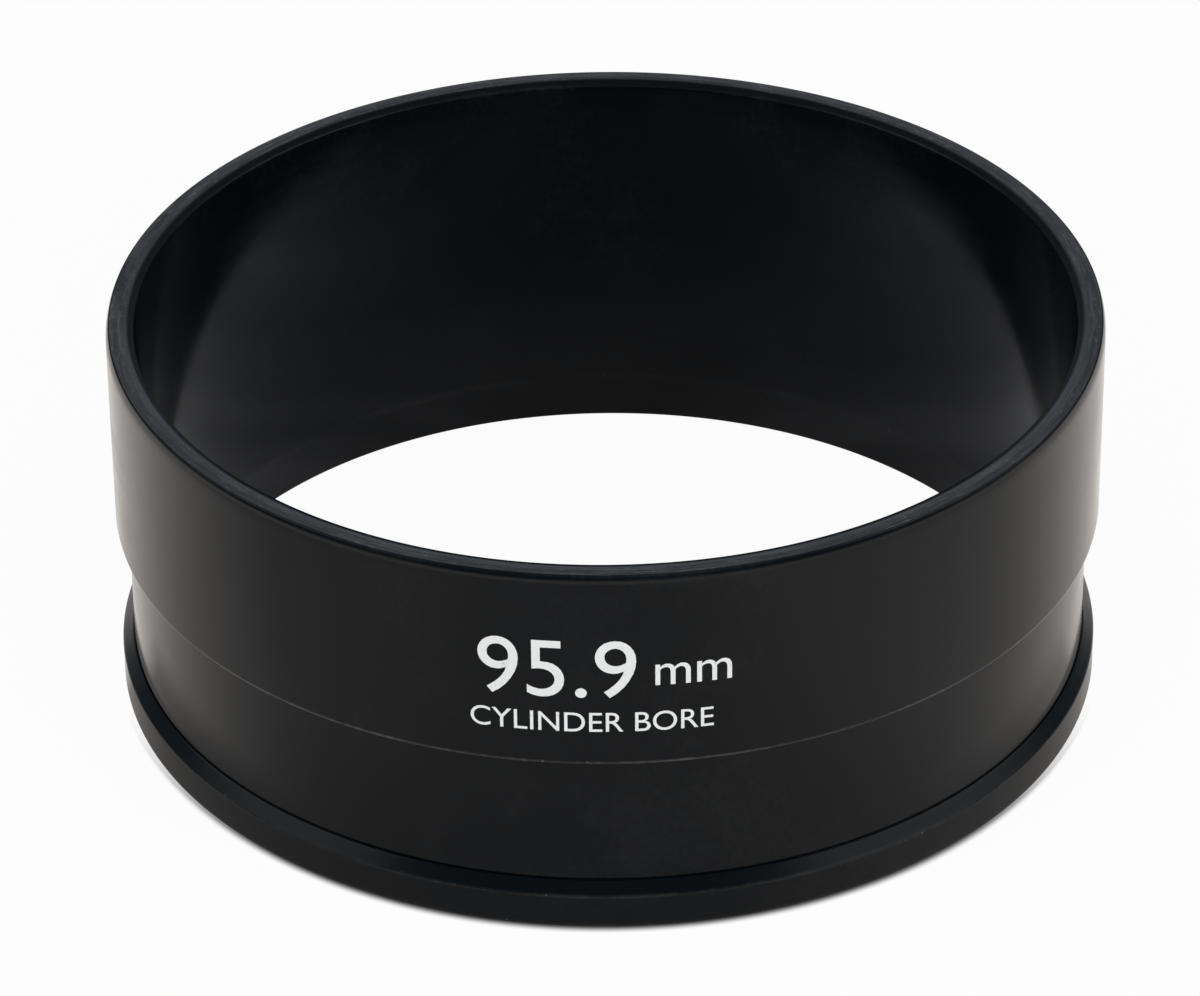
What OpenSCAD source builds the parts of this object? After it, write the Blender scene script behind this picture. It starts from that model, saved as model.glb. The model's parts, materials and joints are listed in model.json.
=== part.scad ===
// Tapered piston ring compressor: a one-piece turned sleeve.
// The piston and its rings go in at the wide mouth on top, the taper closes the rings,
// and the straight land at the foot hands them to the cylinder that the flange sits on.
// Millimetres, +Z up. The origin is the centre of the foot, on the face that meets the engine block.

/* [Bore] */
// Diameter of the straight land, which equals the engine cylinder's bore
bore_d = 95.9; // [70:0.1:130]
// Height of the straight land at the foot of the bore
land_h = 5; // [2:0.5:12]
// How much wider than the bore the mouth is, to take a ring at its free size
mouth_gain = 3.2; // [2:0.1:8]

/* [Sleeve] */
// Height from the foot to the rim
sleeve_h = 42.4; // [32:0.2:80]
// Wall at the rim, from the mouth to the outside of the upper band
rim_wall = 2.8; // [2.2:0.1:6]
// Width of the shallow lead-in on the rim, round the mouth
lead_w = 1.1; // [0.2:0.1:1.2]
// Depth of the lead-in where it meets the taper
lead_h = 0.2; // [0.1:0.05:0.6]

/* [Neck] */
// Depth of the neck below the outside of the band and the flange
neck_depth = 1.3; // [0.6:0.1:1.6]
// Height of the shoulder where the neck ends and the upper band starts
shoulder_z = 20.2; // [12:0.2:26]
// Nose radius that the turning tool leaves in the corner under the shoulder
corner_r = 0.4; // [0.1:0.1:0.5]

/* [Flange] */
// Height of the flange's outside wall
flange_h = 4; // [2.5:0.1:7]
// Slope of the ledge that climbs from the flange's edge to the neck
ledge_angle = 45; // [10:1:60]
// Radius on the lower outside edge of the flange
foot_round = 0.6; // [0.2:0.1:1.5]

/* [Edge breaks] */
// Width of the bevel on the outside edge of the rim
rim_bevel_w = 0.3; // [0.1:0.05:0.8]
// Height of the bevel on the outside edge of the rim
rim_bevel_h = 0.6; // [0.1:0.05:1.2]
// Bevel on the edge of the shoulder
edge_bevel = 0.15; // [0.05:0.05:0.4]

/* [Hidden] */
anodised_black = "#1b1b1d";
bore_r = bore_d / 2;
mouth_r = bore_r + mouth_gain / 2;
outer_r = mouth_r + rim_wall;
neck_r = outer_r - neck_depth;
ledge_rise = neck_depth * tan(ledge_angle);
// How far a cut runs past the faces that it opens
cut = 1;
// How far a fillet reaches into the walls that it joins
bite = 0.2;
arc_fn = 64;

// Section of the stock that the neck, the flange and the band share
module core_section() {
    square([neck_r, sleeve_h]);
}

// Section of the flange: rounded at the foot, with the sloping ledge on top
module flange_section() {
    square([outer_r - foot_round, flange_h]);
    translate([0, foot_round])
        square([outer_r, flange_h - foot_round]);
    translate([outer_r - foot_round, foot_round])
        circle(r = foot_round, $fn = arc_fn);
    polygon([
        [0, flange_h],
        [outer_r, flange_h],
        [neck_r, flange_h + ledge_rise],
        [0, flange_h + ledge_rise]
    ]);
}

// Section of the upper band, from the shoulder to the bevelled rim
module band_section() {
    polygon([
        [0, shoulder_z],
        [outer_r - edge_bevel, shoulder_z],
        [outer_r, shoulder_z + edge_bevel],
        [outer_r, sleeve_h - rim_bevel_h],
        [outer_r - rim_bevel_w, sleeve_h],
        [0, sleeve_h]
    ]);
}

// Section of the fillet in a corner that opens towards +X and +Y
module corner_fillet() {
    difference() {
        translate([-bite, -bite])
            square(corner_r + bite);
        translate([corner_r, corner_r])
            circle(r = corner_r, $fn = arc_fn);
    }
}

// Section of the space that the piston passes through: land, taper and lead-in
module bore_section() {
    polygon([
        [0, -cut],
        [bore_r, -cut],
        [bore_r, land_h],
        [mouth_r, sleeve_h - lead_h],
        [mouth_r + lead_w, sleeve_h],
        [mouth_r + lead_w, sleeve_h + cut],
        [0, sleeve_h + cut]
    ]);
}

// Section of the sleeve's wall
module wall_section() {
    difference() {
        union() {
            core_section();
            flange_section();
            band_section();
            translate([neck_r, shoulder_z])
                mirror([0, 1])
                    corner_fillet();
        }
        bore_section();
    }
}

module compressor_sleeve() {
    color(anodised_black)
        rotate_extrude($fn = 180)
            wall_section();
}

compressor_sleeve();
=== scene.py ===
"""Studio picture of a tapered piston ring compressor.

The sleeve is spun from its wall section, its edges are rounded, and it takes a procedural
black anodised finish. It stands on a pale floor in soft studio light.
"""

import json
import logging
import math
from dataclasses import dataclass
from enum import Enum

import bmesh
import bpy
from mathutils import Matrix, Vector


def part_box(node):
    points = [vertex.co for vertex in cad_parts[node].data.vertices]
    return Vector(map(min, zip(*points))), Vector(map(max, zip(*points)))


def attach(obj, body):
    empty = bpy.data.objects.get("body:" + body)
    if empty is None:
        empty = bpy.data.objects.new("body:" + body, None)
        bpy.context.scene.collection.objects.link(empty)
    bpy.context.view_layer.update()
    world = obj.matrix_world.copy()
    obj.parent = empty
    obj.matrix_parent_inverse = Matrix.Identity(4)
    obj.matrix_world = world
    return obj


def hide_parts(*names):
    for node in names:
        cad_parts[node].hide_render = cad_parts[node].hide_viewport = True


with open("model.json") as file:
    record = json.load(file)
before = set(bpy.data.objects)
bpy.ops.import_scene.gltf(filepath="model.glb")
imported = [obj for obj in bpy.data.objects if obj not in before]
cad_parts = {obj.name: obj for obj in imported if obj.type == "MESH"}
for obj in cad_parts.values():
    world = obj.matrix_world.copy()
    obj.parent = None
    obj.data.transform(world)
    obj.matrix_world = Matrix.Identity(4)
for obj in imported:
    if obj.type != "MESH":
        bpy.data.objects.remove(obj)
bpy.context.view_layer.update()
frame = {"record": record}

LOG = logging.getLogger("compressor")
MM = 0.001
MERGE = 0.000001
BODY = "root"
WEAR = "wear"
WHITE = (1.0, 1.0, 1.0, 1.0)


class Slot(Enum):
    """Material slots of the record."""

    ANODISED = "black_anodised"


class Node(Enum):
    """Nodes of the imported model."""

    SLEEVE = "compressor_sleeve"


class Mount(Enum):
    """Mounts of the record."""

    BORE = "piston_bore"


class Mixed(Enum):
    """What a Mix node mixes: its type, and the places of its two inputs and its result."""

    NUMBER = ("FLOAT", 2, 3, 0)
    COLOUR = ("RGBA", 6, 7, 2)


@dataclass(frozen=True)
class Fade:
    """A smooth change from one level to another.

    Attributes:
        low: Input at which the change starts.
        high: Input at which it ends.
        start: Level up to low.
        end: Level from high on.
    """

    low: float
    high: float
    start: float = 0.0
    end: float = 1.0


@dataclass(frozen=True)
class Grain:
    """A noise pattern and how it shows.

    Attributes:
        scale: Features per metre.
        detail: Octaves.
        rough: Weight of the fine octaves.
        shown: What its values are turned into.
        stretch: Pattern length, in metres, for each radian round a turned part.
    """

    scale: float
    detail: float
    rough: float
    shown: Fade = Fade(0.0, 1.0)
    stretch: float = 0.0


class Shader:
    """Adds nodes to one material or world and joins them."""

    def __init__(self, owner: bpy.types.ID) -> None:
        """Empties the owner's node tree.

        Args:
            owner: The material or world whose nodes are written.
        """
        owner.use_nodes = True
        self.tree = owner.node_tree
        self.tree.nodes.clear()

    def add(self, kind: str, **settings: object) -> bpy.types.Node:
        """Adds one node.

        Args:
            kind: The node's type name.
            **settings: Properties set on the node.

        Returns:
            The new node.
        """
        node = self.tree.nodes.new(kind)
        for name, value in settings.items():
            setattr(node, name, value)
        return node

    def feed(self, socket: bpy.types.NodeSocket, value: object) -> None:
        """Sets an input socket, or joins another node's output to it.

        Args:
            socket: The input.
            value: A number, a tuple or an output socket.
        """
        if isinstance(value, bpy.types.NodeSocket):
            self.tree.links.new(value, socket)
        else:
            socket.default_value = value

    def fill(self, node: bpy.types.Node, **values: object) -> None:
        """Feeds several inputs of a node.

        Args:
            node: The node.
            **values: A value for each input's name, with _ for a space.
        """
        for name, value in values.items():
            self.feed(node.inputs[name.replace("_", " ")], value)

    def show(self, result: bpy.types.NodeSocket, kind: str = "Material") -> None:
        """Joins the finished surface to the output.

        Args:
            result: The surface.
            kind: Material or World.
        """
        self.fill(self.add(f"ShaderNodeOutput{kind}"), Surface=result)

    def math(self, operation: str, *values: object, clamp: bool = False) -> bpy.types.NodeSocket:
        """Adds a Math node.

        Args:
            operation: The node's operation.
            *values: Its inputs, in order.
            clamp: Whether the result stays between 0 and 1.

        Returns:
            The result's socket.
        """
        node = self.add("ShaderNodeMath", operation=operation, use_clamp=clamp)
        for socket, value in zip(node.inputs, values):
            self.feed(socket, value)
        return node.outputs["Value"]

    def chain(self, operation: str, first: object, *others: object) -> bpy.types.NodeSocket:
        """Applies one operation to a row of values, from left to right.

        Args:
            operation: The operation of two inputs.
            first: The first value.
            *others: The other values.

        Returns:
            The result's socket.
        """
        for other in others:
            first = self.math(operation, first, other)
        return first

    def fade(self, value: object, fade: Fade) -> bpy.types.NodeSocket:
        """Adds a smooth Map Range node.

        Args:
            value: The input.
            fade: The change of level.

        Returns:
            The level's socket.
        """
        node = self.add("ShaderNodeMapRange", interpolation_type="SMOOTHSTEP", clamp=True)
        self.fill(node, Value=value, From_Min=fade.low, From_Max=fade.high)
        self.fill(node, To_Min=fade.start, To_Max=fade.end)
        return node.outputs["Result"]

    def noise(self, place: bpy.types.NodeSocket, grain: Grain) -> bpy.types.NodeSocket:
        """Adds a Noise Texture node.

        Args:
            place: Where it is looked up.
            grain: The pattern.

        Returns:
            The noise value's socket.
        """
        node = self.add("ShaderNodeTexNoise")
        self.fill(node, Vector=place, Scale=grain.scale)
        self.fill(node, Detail=grain.detail, Roughness=grain.rough)
        return node.outputs["Fac"]

    def grained(self, place: bpy.types.NodeSocket, grain: Grain) -> bpy.types.NodeSocket:
        """Adds a noise pattern as it shows.

        Args:
            place: Where it is looked up.
            grain: The pattern.

        Returns:
            The level's socket.
        """
        return self.fade(self.noise(place, grain), grain.shown)

    def mix(self, kind: Mixed, factor: object, first: object, second: object) -> bpy.types.NodeSocket:
        """Mixes two numbers or two colours.

        Args:
            kind: What is mixed.
            factor: 0 gives first, 1 gives second.
            first: A value or a socket.
            second: A value or a socket.

        Returns:
            The mixed value's socket.
        """
        data_type, first_place, second_place, result_place = kind.value
        node = self.add("ShaderNodeMix", data_type=data_type)
        self.feed(node.inputs[0], factor)
        self.feed(node.inputs[first_place], first)
        self.feed(node.inputs[second_place], second)
        return node.outputs[result_place]

    def vector(self, *parts: object) -> bpy.types.NodeSocket:
        """Joins up to three numbers into a vector.

        Args:
            *parts: The numbers or sockets, in the order of the axes.

        Returns:
            The vector's socket.
        """
        node = self.add("ShaderNodeCombineXYZ")
        for socket, part in zip(node.inputs, parts):
            self.feed(socket, part)
        return node.outputs["Vector"]

    def split(self, vector: bpy.types.NodeSocket) -> bpy.types.NodeOutputs:
        """Splits a vector into its three numbers.

        Args:
            vector: The vector.

        Returns:
            The sockets in the order of the axes.
        """
        node = self.add("ShaderNodeSeparateXYZ")
        self.fill(node, Vector=vector)
        return node.outputs


@dataclass(frozen=True)
class TurnedPlace:
    """Sockets that say where a point lies on a turned part.

    Attributes:
        place: Its object coordinates.
        radius: Its distance from the axis.
        turn: Its angle round the axis.
        height: Its height.
        facing: How squarely its face looks up or down, 0 to 1.
    """

    place: bpy.types.NodeSocket
    radius: bpy.types.NodeSocket
    turn: bpy.types.NodeSocket
    height: bpy.types.NodeSocket
    facing: bpy.types.NodeSocket

    @classmethod
    def read(cls, shader: Shader) -> "TurnedPlace":
        """Adds the nodes that give the sockets.

        Args:
            shader: The node tree that takes them.

        Returns:
            The sockets.
        """
        place = shader.add("ShaderNodeTexCoord").outputs["Object"]
        east, north, height = shader.split(place)
        squares = [shader.math("MULTIPLY", side, side) for side in (east, north)]
        radius = shader.math("SQRT", shader.chain("ADD", *squares))
        turn = shader.math("ARCTAN2", north, east)
        normal = shader.add("ShaderNodeNewGeometry").outputs["True Normal"]
        facing = shader.math("ABSOLUTE", shader.split(normal)[2])
        return cls(place, radius, turn, height, facing)


@dataclass(frozen=True)
class BlackAnodise:
    """Satin black anodised aluminium over fine turning marks.

    Attributes:
        black: Colour of the dyed layer.
        rubbed: Colour where the dye has worn thin.
        specular: Specular level of the sealed layer.
        roughness: Roughness of the walls.
        slope_roughness: Roughness of the ledge and the lead-in.
        face_roughness: Roughness of the rim's and the foot's flat faces.
        mark_height: Depth of the turning marks, in metres.
        mark_strength: Strength of their bump.
        band_weight: Weight of the broad bands in that bump.
        fleck_part: Share of the flecks in the uneven wear.
        flat: Facing of the flat faces.
        slope: Facing of the ledge and the lead-in.
        wall_film: Dull film on the walls, by facing.
        film: Wear at which that film shows.
        rub: How much of the dye an edge loses, by wear.
        chip_edge: Edge wear at which chips show.
        smear_rough: Roughness that smears add.
        turning: Fine turning marks.
        bands: Broad bands between them, and the roughness that they add.
        streaks: Long streaks on the flat faces.
        scuffs: Short scuffs on the flat faces.
        smears: Broad smears, and how much of the streaks they leave.
        smudges: Small smudges, as the roughness that they add.
        flecks: Fine flecks, and the dust that settles as some of them.
        chips: Small chips at the edges.
    """

    black: tuple = (0.0010, 0.0020, 0.0033, 1.0)
    rubbed: tuple = (0.108, 0.107, 0.109, 1.0)
    specular: float = 0.28
    roughness: float = 0.14
    slope_roughness: float = 0.24
    face_roughness: float = 0.30
    mark_height: float = 0.000004
    mark_strength: float = 0.35
    band_weight: float = 1.2
    fleck_part: float = 0.3
    flat: Fade = Fade(0.985, 0.998)
    slope: Fade = Fade(0.45, 0.65)
    wall_film: Fade = Fade(0.30, 0.60, 0.035, 0.0)
    film: Fade = Fade(0.48, 0.68)
    rub: Fade = Fade(0.42, 0.66, 0.18, 0.85)
    chip_edge: Fade = Fade(0.06, 0.16)
    smear_rough: Fade = Fade(0.3, 0.7, -0.025, 0.035)
    turning: Grain = Grain(5200.0, 4.0, 0.6, stretch=0.00012)
    bands: Grain = Grain(900.0, 2.0, 0.5, Fade(0.3, 0.7, -0.02, 0.02))
    streaks: Grain = Grain(2600.0, 4.0, 0.65, Fade(0.42, 0.62, 0.0, 0.40), 0.0030)
    scuffs: Grain = Grain(3600.0, 3.0, 0.65, Fade(0.56, 0.70, 0.0, 0.95), 0.0120)
    smears: Grain = Grain(60.0, 5.0, 0.6, Fade(0.35, 0.65, 0.4, 1.15))
    smudges: Grain = Grain(130.0, 4.0, 0.55, Fade(0.30, 0.72, 0.03, -0.03))
    flecks: Grain = Grain(1500.0, 3.0, 0.65, Fade(0.77, 0.82, 0.0, 0.25))
    chips: Grain = Grain(2300.0, 1.0, 0.5, Fade(0.74, 0.77))

    def build(self) -> bpy.types.Material:
        """Makes the material.

        Returns:
            The material.
        """
        material = bpy.data.materials.new("Black anodise")
        shader = Shader(material)
        point = TurnedPlace.read(shader)
        flat = shader.fade(point.facing, self.flat)
        smear = shader.noise(point.place, self.smears)
        turn = shader.math("MULTIPLY", point.turn, self.turning.stretch)
        ring = shader.vector(point.radius, point.height, turn)
        bands = shader.noise(ring, self.bands)
        worn = self.worn(shader, point, flat, smear)
        surface = shader.add("ShaderNodeBsdfPrincipled")
        shader.fill(
            surface,
            Base_Color=shader.mix(Mixed.COLOUR, worn, self.black, self.rubbed),
            Roughness=self.rough(shader, point, flat, smear, bands),
            Specular_IOR_Level=self.specular,
            Normal=self.turned(shader, ring, bands),
        )
        shader.show(surface.outputs["BSDF"])
        return material

    def worn(
        self,
        shader: Shader,
        point: TurnedPlace,
        flat: bpy.types.NodeSocket,
        smear: bpy.types.NodeSocket,
    ) -> bpy.types.NodeSocket:
        """Works out how thin the dye is: rubbed edges, chips, dust, streaks and a dull film.

        Args:
            shader: The finish's node tree.
            point: The point's place.
            flat: 1 on the flat faces, and 0 elsewhere.
            smear: The broad smears.

        Returns:
            The share of the dye that is gone.
        """
        fleck = shader.noise(point.place, self.flecks)
        dust = shader.fade(fleck, self.flecks.shown)
        uneven = shader.mix(Mixed.NUMBER, self.fleck_part, smear, fleck)
        edge = shader.add("ShaderNodeAttribute", attribute_name=WEAR).outputs["Fac"]
        rubbed = shader.math("MULTIPLY", edge, shader.fade(uneven, self.rub), clamp=True)
        chip = shader.grained(point.place, self.chips)
        chip = shader.math("MULTIPLY", chip, shader.fade(edge, self.chip_edge))
        marks = [self.streaked(shader, point, grain) for grain in (self.streaks, self.scuffs)]
        streaks = shader.chain("ADD", *marks)
        streaks = shader.math("MULTIPLY", streaks, shader.fade(smear, self.smears.shown))
        film = shader.fade(point.facing, self.wall_film)
        film = shader.math("MULTIPLY", film, shader.fade(uneven, self.film))
        dulled = shader.mix(Mixed.NUMBER, flat, film, streaks)
        return shader.math("ADD", shader.chain("ADD", rubbed, dust, chip), dulled, clamp=True)

    def streaked(self, shader: Shader, point: TurnedPlace, grain: Grain) -> bpy.types.NodeSocket:
        """Lays a pattern round the axis of the flat faces.

        Args:
            shader: The finish's node tree.
            point: The point's place.
            grain: The pattern.

        Returns:
            The level's socket.
        """
        turn = shader.math("MULTIPLY", point.turn, grain.stretch)
        return shader.grained(shader.vector(point.radius, 0.0, turn), grain)

    def rough(
        self,
        shader: Shader,
        point: TurnedPlace,
        flat: bpy.types.NodeSocket,
        smear: bpy.types.NodeSocket,
        bands: bpy.types.NodeSocket,
    ) -> bpy.types.NodeSocket:
        """Works out the roughness of the walls, the slopes and the flat faces.

        Args:
            shader: The finish's node tree.
            point: The point's place.
            flat: 1 on the flat faces, and 0 elsewhere.
            smear: The broad smears.
            bands: The broad turning bands.

        Returns:
            The roughness.
        """
        slope = shader.fade(point.facing, self.slope)
        rough = shader.mix(Mixed.NUMBER, slope, self.roughness, self.slope_roughness)
        rough = shader.mix(Mixed.NUMBER, flat, rough, self.face_roughness)
        smeared = shader.fade(smear, self.smear_rough)
        smudged = shader.grained(point.place, self.smudges)
        rough = shader.chain("ADD", rough, smeared, smudged)
        return shader.math("ADD", rough, shader.fade(bands, self.bands.shown), clamp=True)

    def turned(
        self, shader: Shader, ring: bpy.types.NodeSocket, bands: bpy.types.NodeSocket
    ) -> bpy.types.NodeSocket:
        """Raises the turning marks.

        Args:
            shader: The finish's node tree.
            ring: The place on the section, stretched round the axis.
            bands: The broad turning bands.

        Returns:
            The normal.
        """
        marks = shader.noise(ring, self.turning)
        bands = shader.math("MULTIPLY", bands, self.band_weight)
        bump = shader.add("ShaderNodeBump")
        shader.fill(bump, Strength=self.mark_strength, Distance=self.mark_height)
        shader.fill(bump, Height=shader.math("ADD", marks, bands))
        return bump.outputs["Normal"]


@dataclass(frozen=True)
class EtchedWhite:
    """White print on the black band, a little uneven.

    Attributes:
        white: Colour of the print.
        thin: Colour where the black shows through.
        specular: Specular level of the print.
        roughness: Roughness of the print, by its grain.
        grain: The print's grain, and how it thins the white.
    """

    white: tuple = (0.80, 0.80, 0.79, 1.0)
    thin: tuple = (0.42, 0.42, 0.42, 1.0)
    specular: float = 0.3
    roughness: Fade = Fade(0.3, 0.7, 0.55, 0.75)
    grain: Grain = Grain(2600.0, 3.0, 0.6, Fade(0.58, 0.80))

    def build(self) -> bpy.types.Material:
        """Makes the material.

        Returns:
            The material.
        """
        material = bpy.data.materials.new("Etched white")
        shader = Shader(material)
        place = shader.add("ShaderNodeTexCoord").outputs["Object"]
        grain = shader.noise(place, self.grain)
        thinned = shader.fade(grain, self.grain.shown)
        surface = shader.add("ShaderNodeBsdfPrincipled")
        shader.fill(
            surface,
            Base_Color=shader.mix(Mixed.COLOUR, thinned, self.white, self.thin),
            Roughness=shader.fade(grain, self.roughness),
            Specular_IOR_Level=self.specular,
        )
        shader.show(surface.outputs["BSDF"])
        return material


@dataclass(frozen=True)
class PaleFloorWithPaintedShade:
    """White studio floor whose glow carries a painted shadow and painted shade.

    The levels are painted: those that the camera or the reflections see at each place. Places are in
    metres: widths to the right of the object's axis, depths behind it, and radii round it.

    Attributes:
        colour: Colour of the floor.
        painted_reflection_tint: Tint of the painted glow that reflections see.
        painted_bore_tint: That painted tint inside the bore.
        painted_bore_tint: That tint inside the bore.
        camera_white: Share of plain white that the camera sees.
        bore_radius: Radius of the ground inside the bore.
        contact_shadow: Painted contact shadow at the foot, by radius.
        contact_end: How that painted shadow ends beside the object, by depth.
        depth: Painted reflection level from the front to the back, by depth.
        right: Painted reflection level in front on the right, by width.
        left: Painted reflection level in front on the left, by width.
        around: Painted reflection level well away from the object, by radius.
        far: Share of the painted reflection level that is left far away, by radius.
        foot: Share that the painted shade in front of the foot leaves, by width.
        foot_end: How the painted shade in front of the foot ends, by radius.
        flank: Share that the painted shade beside the foot leaves, by width.
        flank_end: How the painted shade beside the foot ends, by radius.
        flank_back: How that painted shade ends behind, by depth.
        flank_start: Where the front's painted shade becomes the side's, by depth.
        bore: Painted shade level on the ground inside the bore, as reflections see it, by depth.
        bore_sides: Share of that painted level towards the bore's sides, by distance from the middle.
        painted_bore_stripes: Faint painted stripes in that level.
    """

    colour: tuple = (0.88, 0.86, 0.85, 1.0)
    painted_reflection_tint: tuple = (1.0, 0.950, 0.905, 1.0)
    painted_bore_tint: tuple = (0.96, 0.965, 1.0, 1.0)
    camera_white: float = 0.96
    bore_radius: float = 0.0479
    contact_shadow: Fade = Fade(0.0518, 0.0531, 0.03, 1.0)
    contact_end: Fade = Fade(-0.045, -0.010)
    depth: Fade = Fade(-0.075, 0.030, 0.46, 1.0)
    right: Fade = Fade(0.010, 0.070, 0.46, 0.72)
    left: Fade = Fade(-0.075, -0.015, 0.55, 0.46)
    around: Fade = Fade(0.09, 0.24, 0.0, 1.0)
    far: Fade = Fade(0.30, 0.70, 1.0, 0.35)
    foot: Fade = Fade(0.0, 0.035, 0.72, 0.90)
    foot_end: Fade = Fade(0.0555, 0.0790)
    flank: Fade = Fade(0.0, 0.035, 0.45, 0.62)
    flank_end: Fade = Fade(0.0555, 0.0620)
    flank_back: Fade = Fade(-0.016, 0.0)
    flank_start: Fade = Fade(-0.050, -0.022)
    bore: Fade = Fade(-0.012, 0.046, 0.13, 0.40)
    bore_sides: Fade = Fade(0.004, 0.034, 0.82, 1.08)
    painted_bore_stripes: Grain = Grain(75.0, 1.0, 0.5, Fade(0.3, 0.7, 0.78, 1.15))

    def build(self) -> bpy.types.Material:
        """Makes the material.

        Returns:
            The material.
        """
        material = bpy.data.materials.new("Pale floor with painted shade")
        shader = Shader(material)
        rays = shader.add("ShaderNodeLightPath").outputs
        camera = rays["Is Camera Ray"]
        place = shader.add("ShaderNodeTexCoord").outputs["Object"]
        width, depth, _ = shader.split(place)
        length = shader.add("ShaderNodeVectorMath", operation="LENGTH")
        shader.feed(length.inputs[0], place)
        radius = length.outputs["Value"]
        in_bore = shader.math("LESS_THAN", radius, self.bore_radius)
        around = self.painted_shade_round_object(shader, width, depth, radius)
        # Painted reflection levels that glossy rays see, with painted shade round the foot and inside
        # the bore.
        mirrored = shader.mix(Mixed.NUMBER, in_bore, around, self.painted_bore_shade(shader, width, depth))
        tint = shader.mix(Mixed.COLOUR, in_bore, self.painted_reflection_tint, self.painted_bore_tint)
        # Painted contact shadow in the glow that the camera sees, fading out beside and behind the
        # object.
        contact_shadow = shader.fade(radius, self.contact_shadow)
        contact_end = shader.fade(depth, self.contact_end)
        seen = shader.chain("MAXIMUM", contact_shadow, contact_end, in_bore)
        glow = shader.add("ShaderNodeEmission")
        shader.fill(glow, Color=shader.mix(Mixed.COLOUR, camera, tint, WHITE))
        shader.fill(glow, Strength=shader.mix(Mixed.NUMBER, camera, mirrored, seen))
        matt = shader.add("ShaderNodeBsdfDiffuse")
        shader.fill(matt, Color=self.colour)
        # Glossy and transmission rays see only the painted glow, not the lit floor.
        mirrors = shader.math("MAXIMUM", rays["Is Glossy Ray"], rays["Is Transmission Ray"])
        white = shader.math("MULTIPLY", camera, self.camera_white)
        mix = shader.add("ShaderNodeMixShader")
        shader.feed(mix.inputs[0], shader.math("ADD", white, mirrors, clamp=True))
        shader.feed(mix.inputs[1], matt.outputs["BSDF"])
        shader.feed(mix.inputs[2], glow.outputs["Emission"])
        shader.show(mix.outputs["Shader"])
        return material

    def painted_shade_round_object(
        self,
        shader: Shader,
        width: bpy.types.NodeSocket,
        depth: bpy.types.NodeSocket,
        radius: bpy.types.NodeSocket,
    ) -> bpy.types.NodeSocket:
        """Works out the painted reflection level round the object, with the painted shade of the
        foot.

        Args:
            shader: The floor's node tree.
            width: Distance to the right of the object's axis.
            depth: Distance behind the axis.
            radius: Distance from the axis.

        Returns:
            The level's socket.
        """
        ground = shader.chain(
            "MAXIMUM",
            shader.fade(depth, self.depth),
            shader.fade(width, self.right),
            shader.fade(width, self.left),
            shader.fade(radius, self.around),
        )
        # Painted shade in front of and beside the foot, as reflections see it.
        foot_end = shader.fade(radius, self.foot_end)
        before = shader.mix(Mixed.NUMBER, foot_end, shader.fade(width, self.foot), 1.0)
        flank_end = shader.fade(radius, self.flank_end)
        beside = shader.mix(Mixed.NUMBER, flank_end, shader.fade(width, self.flank), 1.0)
        beside = shader.math("MAXIMUM", beside, shader.fade(depth, self.flank_back))
        shade = shader.mix(Mixed.NUMBER, shader.fade(depth, self.flank_start), before, beside)
        return shader.chain("MULTIPLY", ground, shader.fade(radius, self.far), shade)

    def painted_bore_shade(
        self, shader: Shader, width: bpy.types.NodeSocket, depth: bpy.types.NodeSocket
    ) -> bpy.types.NodeSocket:
        """Works out the painted shade level that reflections see on the ground inside the bore.

        Args:
            shader: The floor's node tree.
            width: Distance to the right of the object's axis.
            depth: Distance behind the axis.

        Returns:
            The level's socket.
        """
        # Painted shade on the ground inside the bore, with faint painted stripes.
        return shader.chain(
            "MULTIPLY",
            shader.fade(depth, self.bore),
            shader.grained(shader.vector(width), self.painted_bore_stripes),
            shader.fade(shader.math("ABSOLUTE", width), self.bore_sides),
        )


@dataclass(frozen=True)
class Corner:
    """One corner of the wall section.

    Attributes:
        radius: Distance from the bore's axis, in mm.
        height: Height above the foot, in mm.
        reach: How far the edge round runs along both walls, in mm.
        segments: Facets in the edge round.
        wear: How much of the finish is rubbed off there, 0 to 1.
    """

    radius: float
    height: float
    reach: float = 0.0
    segments: int = 1
    wear: float = 0.0

    def distance(self, vert: bmesh.types.BMVert) -> float:
        """Measures how far a vertex lies from the circle that the corner sweeps.

        Args:
            vert: The vertex.

        Returns:
            The distance in mm.
        """
        radius = math.hypot(vert.co.x, vert.co.y) / MM
        return math.hypot(radius - self.radius, vert.co.z / MM - self.height)


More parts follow.
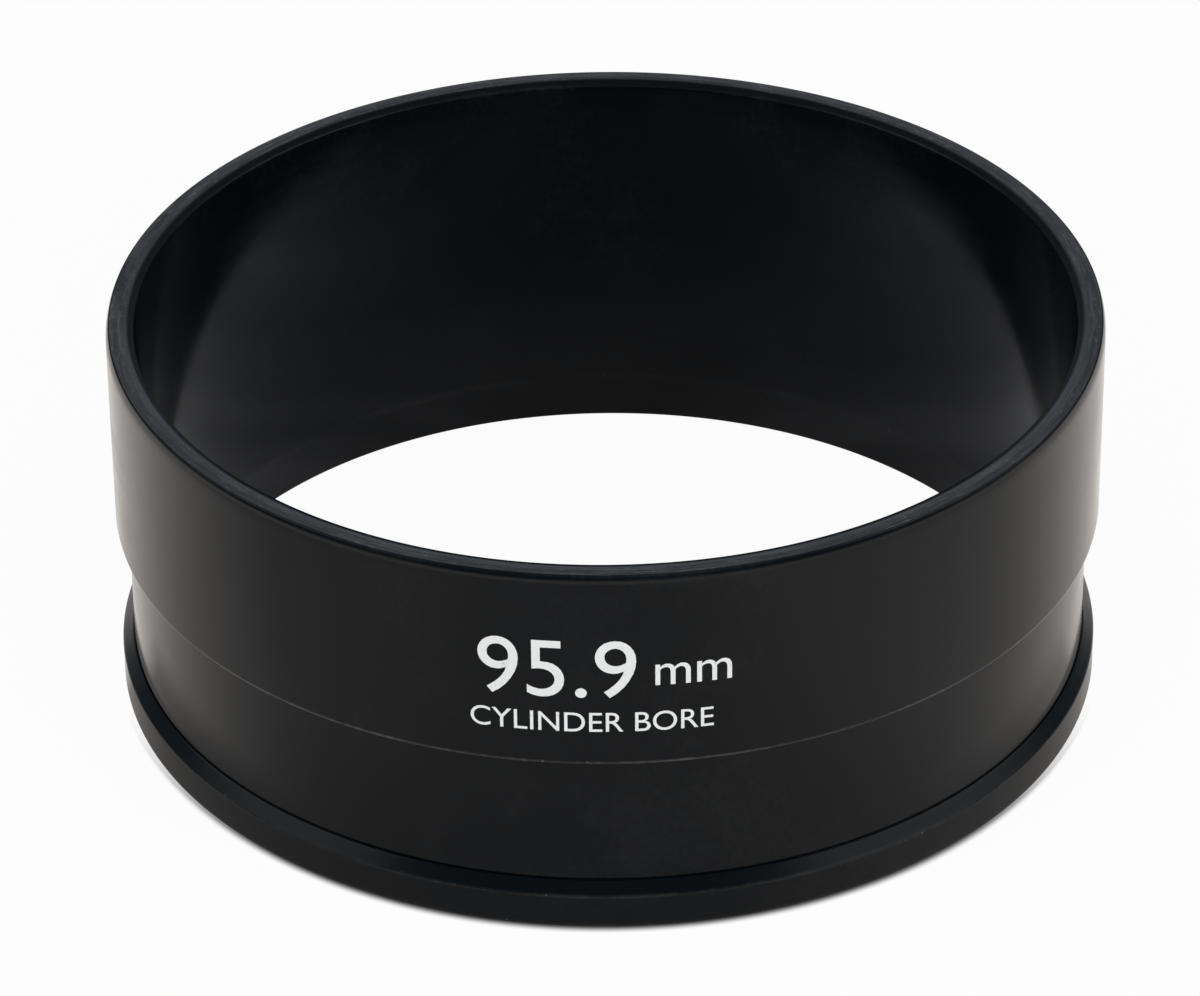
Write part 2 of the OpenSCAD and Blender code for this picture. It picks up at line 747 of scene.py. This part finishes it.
@dataclass(frozen=True)
class Sleeve:
    """The turned sleeve, in mm.

    Attributes:
        bore_radius: Radius of the straight land.
        land_height: Height of the straight land.
        outer_radius: Radius of the upper band and of the flange.
        height: Height of the rim.
        mouth_radius: Radius of the mouth, where the lead-in meets the taper.
        lead_width: Width of the lead-in on the rim.
        lead_depth: Depth of the lead-in at the mouth.
        break_width: Width of the lead-in's steeper inner part.
        break_depth: Depth at which that part ends.
        rim_break: Width of the edge break on the rim's outside.
        crown: How far the band draws in towards the rim.
        crown_top: Depth below the rim of the crown's upper end.
        crown_foot: Depth below the rim of the crown's lower end.
        shoulder: Height of the shoulder.
        shoulder_break: Width of the edge break on the shoulder.
        neck_radius: Radius of the neck.
        ledge: Height at which the sloping ledge meets the neck.
        flange: Height of the flange's wall.
        relief: Depth of the tool relief at the root of the neck.
        relief_rise: Height of the relief's upper edge above the ledge's root.
        relief_top: Height of the relief's upper corner above that root.
        relief_drop: Depth of the relief's lower corner below that root.
        relief_lip: Width of the slope that the relief takes off the ledge.
        plain_gap: Distance of the plain points from the edge rounds.
        plain_length: Shortest wall that gets plain points.
        wear_margin: How far the wear runs past an edge round.
        tolerance: Distance within which a vertex counts as on a corner.
        steps: Facets round the sleeve.
        even_weight: Weight of the large faces in the shading.
    """

    bore_radius: float
    land_height: float
    outer_radius: float
    height: float
    mouth_radius: float = 49.4
    lead_width: float = 1.45
    lead_depth: float = 0.40
    break_width: float = 0.75
    break_depth: float = 0.08
    rim_break: float = 0.30
    crown: float = 0.05
    crown_top: float = 0.60
    crown_foot: float = 1.45
    shoulder: float = 20.2
    shoulder_break: float = 0.15
    neck_radius: float = 51.05
    ledge: float = 5.3
    flange: float = 4.0
    relief: float = 0.14
    relief_rise: float = 0.10
    relief_top: float = 0.03
    relief_drop: float = 0.22
    relief_lip: float = 0.08
    plain_gap: float = 0.2
    plain_length: float = 1.5
    wear_margin: float = 0.02
    tolerance: float = 0.002
    steps: int = 480
    even_weight: int = 100

    @classmethod
    def from_frame(cls) -> "Sleeve":
        """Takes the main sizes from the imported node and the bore's mount.

        Returns:
            The sleeve.
        """
        mounts = {mount["name"]: mount["dims"] for mount in frame["record"]["mounts"]}
        bore = mounts[Mount.BORE.value]
        low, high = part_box(Node.SLEEVE.value)
        outer_radius = round((high.x - low.x) / 2 / MM, 2)
        height = round((high.z - low.z) / MM, 2)
        return cls(bore["r_mm"], bore["length_mm"], outer_radius, height)

    def corners(self) -> list[Corner]:
        """Lists the wall section's corners, up the bore and down the outside.

        Returns:
            The corners in order.
        """
        outer, neck, rim, root = self.outer_radius, self.neck_radius, self.height, self.ledge
        return [
            Corner(self.bore_radius, 0.0, 0.12, 3, 0.25),
            Corner(self.bore_radius, self.land_height, 0.30, 3, 0.10),
            Corner(self.mouth_radius, rim - self.lead_depth, 0.12, 4, 0.08),
            Corner(self.mouth_radius + self.break_width, rim - self.break_depth, 0.22, 4),
            Corner(self.mouth_radius + self.lead_width, rim, 0.35, 5),
            Corner(outer - self.rim_break, rim, 0.12, 4, 0.10),
            Corner(outer - self.crown, rim - self.crown_top, 0.40, 7),
            Corner(outer, rim - self.crown_foot, 0.40, 4),
            Corner(outer, self.shoulder + self.shoulder_break, 0.10, 3, 0.95),
            Corner(outer - self.shoulder_break, self.shoulder, 0.06, 2, 0.95),
            Corner(neck, self.shoulder, 0.40, 5),
            Corner(neck, root + self.relief_rise, 0.03, 2),
            Corner(neck - self.relief, root + self.relief_top, 0.04, 2),
            Corner(neck - self.relief, root - self.relief_drop, 0.04, 2),
            Corner(neck + self.relief_lip, root - self.relief_lip, 0.03, 2),
            Corner(outer, self.flange, 0.08, 4, 0.20),
            Corner(outer, 0.0, 0.60, 7, 0.10),
        ]

    def section(self) -> list[Corner]:
        """Adds plain points beside the corners, so that wear and shading stay at the edges.

        Returns:
            The corners and the added points in order.
        """
        corners = self.corners()
        points = []
        for first, second in zip(corners, corners[1:] + corners[:1]):
            points.append(first)
            start = Vector((first.radius, first.height))
            end = Vector((second.radius, second.height))
            length = (end - start).length
            if length > self.plain_length:
                for along in (first.reach + self.plain_gap, length - second.reach - self.plain_gap):
                    point = start.lerp(end, along / length)
                    points.append(Corner(point.x, point.y))
        return points

    def build(self) -> bpy.types.Object:
        """Spins the section and rounds its edges.

        Returns:
            The sleeve.
        """
        mesh = bmesh.new()
        rail = [mesh.verts.new((spot.radius * MM, 0.0, spot.height * MM)) for spot in self.section()]
        loop = [mesh.edges.new(pair) for pair in zip(rail, rail[1:] + rail[:1])]
        bmesh.ops.spin(
            mesh,
            geom=rail + loop,
            cent=(0.0, 0.0, 0.0),
            axis=(0.0, 0.0, 1.0),
            angle=math.tau,
            steps=self.steps,
            use_merge=True,
            use_normal_flip=False,
        )
        bmesh.ops.remove_doubles(mesh, verts=mesh.verts[:], dist=MERGE)
        for corner in self.corners():
            self.round_edge(mesh, corner)
        bmesh.ops.recalc_face_normals(mesh, faces=mesh.faces[:])
        self.mark_wear(mesh)
        for face in mesh.faces:
            face.smooth = True
        piece = make_object("sleeve", mesh)
        shading = piece.modifiers.new("Even shading", "WEIGHTED_NORMAL")
        shading.weight = self.even_weight
        return piece

    def round_edge(self, mesh: bmesh.types.BMesh, corner: Corner) -> None:
        """Rounds the edge that one corner of the section has swept.

        Args:
            mesh: The sleeve's mesh.
            corner: The corner.
        """
        on_circle = {vert for vert in mesh.verts if corner.distance(vert) < self.tolerance}
        edges = [edge for edge in mesh.edges if on_circle.issuperset(edge.verts)]
        bmesh.ops.bevel(
            mesh,
            geom=edges,
            offset=corner.reach * MM,
            offset_type="OFFSET",
            segments=corner.segments,
            profile=0.5,
            affect="EDGES",
            clamp_overlap=True,
            material=-1,
            loop_slide=True,
        )

    def mark_wear(self, mesh: bmesh.types.BMesh) -> None:
        """Writes how rubbed each edge is as a vertex attribute.

        Args:
            mesh: The sleeve's mesh.
        """
        layer = mesh.verts.layers.float.new(WEAR)
        corners = self.corners()
        for vert in mesh.verts:
            near = min(corners, key=lambda corner: corner.distance(vert))
            at_edge = near.distance(vert) < near.reach + self.wear_margin
            vert[layer] = near.wear if at_edge else 0.0

    def dress(self, piece: bpy.types.Object, finish: BlackAnodise) -> None:
        """Gives the sleeve its finish and its place in the frame.

        Args:
            piece: The sleeve.
            finish: Its finish.
        """
        piece.data.materials.append(finish.build())
        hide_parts(Node.SLEEVE.value)
        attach(piece, BODY)


@dataclass(frozen=True)
class PrintLine:
    """One line of print, in mm.

    Attributes:
        words: What it says.
        size: Its letter size.
        across: How far its middle lies to the right of the mark's middle.
        up: How far its middle lies above the mark's middle.
    """

    words: str
    size: float
    across: float
    up: float

    def write(self, mesh: bmesh.types.BMesh) -> None:
        """Adds the line, flat, to a mesh.

        Args:
            mesh: The mesh that takes it.
        """
        curve = bpy.data.curves.new("Line", "FONT")
        curve.body = self.words
        curve.size = self.size
        curve.align_x = "CENTER"
        curve.align_y = "CENTER"
        curve.resolution_u = 6
        line = bpy.data.objects.new("Line", curve)
        bpy.context.scene.collection.objects.link(line)
        bpy.context.view_layer.update()
        depsgraph = bpy.context.evaluated_depsgraph_get()
        flat = bpy.data.meshes.new_from_object(line.evaluated_get(depsgraph))
        flat.transform(Matrix.Translation((self.across, self.up, 0.0)))
        mesh.from_mesh(flat)
        bpy.data.objects.remove(line)
        bpy.data.curves.remove(curve)
        bpy.data.meshes.remove(flat)


@dataclass(frozen=True)
class SizeMark:
    """A plain size mark on the front of the upper band, in mm.

    Attributes:
        band_radius: Radius of the band that it is on.
        bore: Bore that it gives.
        height: Height of the mark's middle.
        turn: Angle of the mark's middle from the front, in degrees.
        lift: Thickness of the print.
        slice_width: Width of the slices that bend round the band.
        tolerance: Distance within which a cut takes an existing point.
    """

    band_radius: float
    bore: float
    height: float = 30.6
    turn: float = -2.0
    lift: float = 0.012
    slice_width: float = 0.5
    tolerance: float = 0.0001

    def lines(self) -> tuple[PrintLine, ...]:
        """Lists the mark's lines.

        Returns:
            The lines.
        """
        return (
            PrintLine(f"{self.bore:.1f}", 9.6, -3.4, 0.6),
            PrintLine("mm", 5.4, 10.2, 0.6),
            PrintLine("CYLINDER BORE", 3.3, 0.0, -5.4),
        )

    def build(self) -> bpy.types.Object:
        """Sets the lines, slices them and wraps them on the band.

        Returns:
            The mark.
        """
        mesh = bmesh.new()
        for line in self.lines():
            line.write(mesh)
        left = min(vert.co.x for vert in mesh.verts)
        right = max(vert.co.x for vert in mesh.verts)
        for step in range(1, int((right - left) / self.slice_width)):
            bmesh.ops.bisect_plane(
                mesh,
                geom=mesh.verts[:] + mesh.edges[:] + mesh.faces[:],
                dist=self.tolerance,
                plane_co=(left + self.slice_width * step, 0.0, 0.0),
                plane_no=(1.0, 0.0, 0.0),
            )
        front = math.radians(self.turn - 90.0)
        reach = (self.band_radius + self.lift) * MM
        for vert in mesh.verts:
            angle = front + vert.co.x / self.band_radius
            height = (self.height + vert.co.y) * MM
            vert.co = Vector((reach * math.cos(angle), reach * math.sin(angle), height))
        return make_object("size_mark", mesh)

    def dress(self, piece: bpy.types.Object, finish: EtchedWhite) -> None:
        """Gives the mark its finish and its place in the frame.

        Args:
            piece: The mark.
            finish: Its finish.
        """
        piece.data.materials.append(finish.build())
        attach(piece, BODY)


@dataclass(frozen=True)
class Softbox:
    """One large soft lamp, in metres.

    Attributes:
        name: What it is called.
        place: Where it stands.
        size: Its width and height.
        power: Its power in watts.
        mirrored: Whether reflections show it.
        tint: Its colour.
        aim: The point that it is turned to.
    """

    name: str
    place: tuple
    size: tuple
    power: float
    mirrored: bool = False
    tint: tuple = (1.0, 1.0, 1.0)
    aim: tuple = (0.0, 0.0, 0.02)

    def build(self) -> None:
        """Makes the lamp and aims it at the object."""
        light = bpy.data.lights.new(self.name, "AREA")
        light.shape = "RECTANGLE"
        light.size, light.size_y = self.size
        light.energy = self.power
        light.color = self.tint
        lamp = bpy.data.objects.new(self.name, light)
        bpy.context.scene.collection.objects.link(lamp)
        lamp.location = self.place
        lamp.visible_glossy = self.mirrored
        sight = Vector(self.aim) - Vector(self.place)
        lamp.rotation_euler = sight.to_track_quat("-Z", "Y").to_euler()
        LOG.info("lamp: %s", self.name)


@dataclass(frozen=True)
class Studio:
    """Floor, world and lamps.

    Attributes:
        floor_size: Side of the floor, in metres.
        sky: Strength of the world's even light.
        sky_tint: Colour of that light.
        lamps: The lamps.
    """

    floor_size: float = 2.4
    sky: float = 0.14
    sky_tint: tuple = (0.82, 0.96, 1.08, 1.0)
    lamps: tuple[Softbox, ...] = (
        Softbox("Back", (0.0, 1.30, 0.70), (0.50, 0.60), 0.72, True, (0.86, 0.89, 1.0)),
        Softbox("Left", (-1.08, 0.0, 0.96), (1.15, 0.75), 1.9, True),
        Softbox("Right", (1.08, -0.08, 0.96), (1.35, 0.8), 2.7, True),
        Softbox("Front left", (-1.0, -0.95, 0.45), (0.9, 0.5), 10.0),
        Softbox("Front right", (1.0, -0.95, 0.45), (0.9, 0.5), 10.0),
        Softbox("Top", (0.0, -0.10, 1.60), (0.8, 0.4), 3.0),
    )

    def build(self) -> None:
        """Makes the floor, the world and the lamps."""
        mesh = bmesh.new()
        bmesh.ops.create_grid(mesh, x_segments=1, y_segments=1, size=self.floor_size / 2)
        floor = make_object("Floor", mesh)
        floor.data.materials.append(PaleFloorWithPaintedShade().build())
        self.light_world()
        for lamp in self.lamps:
            lamp.build()

    def light_world(self) -> None:
        """Makes the world: even light, and plain white where the camera sees it."""
        world = bpy.data.worlds.new("Studio")
        bpy.context.scene.world = world
        shader = Shader(world)
        camera = shader.add("ShaderNodeLightPath").outputs["Is Camera Ray"]
        sky = shader.add("ShaderNodeBackground")
        shader.fill(sky, Strength=shader.mix(Mixed.NUMBER, camera, self.sky, 1.0))
        shader.fill(sky, Color=shader.mix(Mixed.COLOUR, camera, self.sky_tint, WHITE))
        shader.show(sky.outputs["Background"], "World")


@dataclass(frozen=True)
class Viewpoint:
    """The picture's camera, in metres and degrees.

    Attributes:
        aim: The point in the middle of the picture.
        distance: Distance from that point.
        elevation: Angle above the horizon.
        roll: Turn about the line of sight.
        lens: Focal length, in mm.
        sensor_width: Width of the sensor, in mm.
        near: Distance at which the view starts.
    """

    aim: tuple = (-0.00076, 0.0, 0.01866)
    distance: float = 0.6449
    elevation: float = 32.15
    roll: float = -0.56
    lens: float = 181.0
    sensor_width: float = 36.0
    near: float = 0.01

    def build(self) -> None:
        """Makes the camera."""
        data = bpy.data.cameras.new("Camera")
        data.sensor_fit = "HORIZONTAL"
        data.sensor_width = self.sensor_width
        data.lens = self.lens
        data.clip_start = self.near
        camera = bpy.data.objects.new("Camera", data)
        bpy.context.scene.collection.objects.link(camera)
        rise = math.radians(self.elevation)
        back = Vector((0.0, -math.cos(rise), math.sin(rise)))
        camera.location = Vector(self.aim) + self.distance * back
        tilt = Matrix.Rotation(math.pi / 2 - rise, 3, "X")
        roll = Matrix.Rotation(math.radians(self.roll), 3, "Z")
        camera.rotation_euler = (tilt @ roll).to_euler()
        bpy.context.scene.camera = camera


def make_object(name: str, mesh: bmesh.types.BMesh) -> bpy.types.Object:
    """Turns a finished bmesh into an object in the scene, and frees it.

    Args:
        name: The object's name.
        mesh: The bmesh.

    Returns:
        The object.
    """
    data = bpy.data.meshes.new(name)
    mesh.to_mesh(data)
    mesh.free()
    piece = bpy.data.objects.new(name, data)
    bpy.context.scene.collection.objects.link(piece)
    LOG.info("%s: %d faces", name, len(data.polygons))
    return piece


def main() -> None:
    """Builds the whole scene."""
    logging.basicConfig(level=logging.INFO)
    bpy.context.scene.view_settings.view_transform = "Standard"
    sleeve = Sleeve.from_frame()
    sleeve.dress(sleeve.build(), BlackAnodise())
    mark = SizeMark(sleeve.outer_radius, 2 * sleeve.bore_radius)
    mark.dress(mark.build(), EtchedWhite())
    Studio().build()
    Viewpoint().build()


if __name__ == "__main__":
    main()
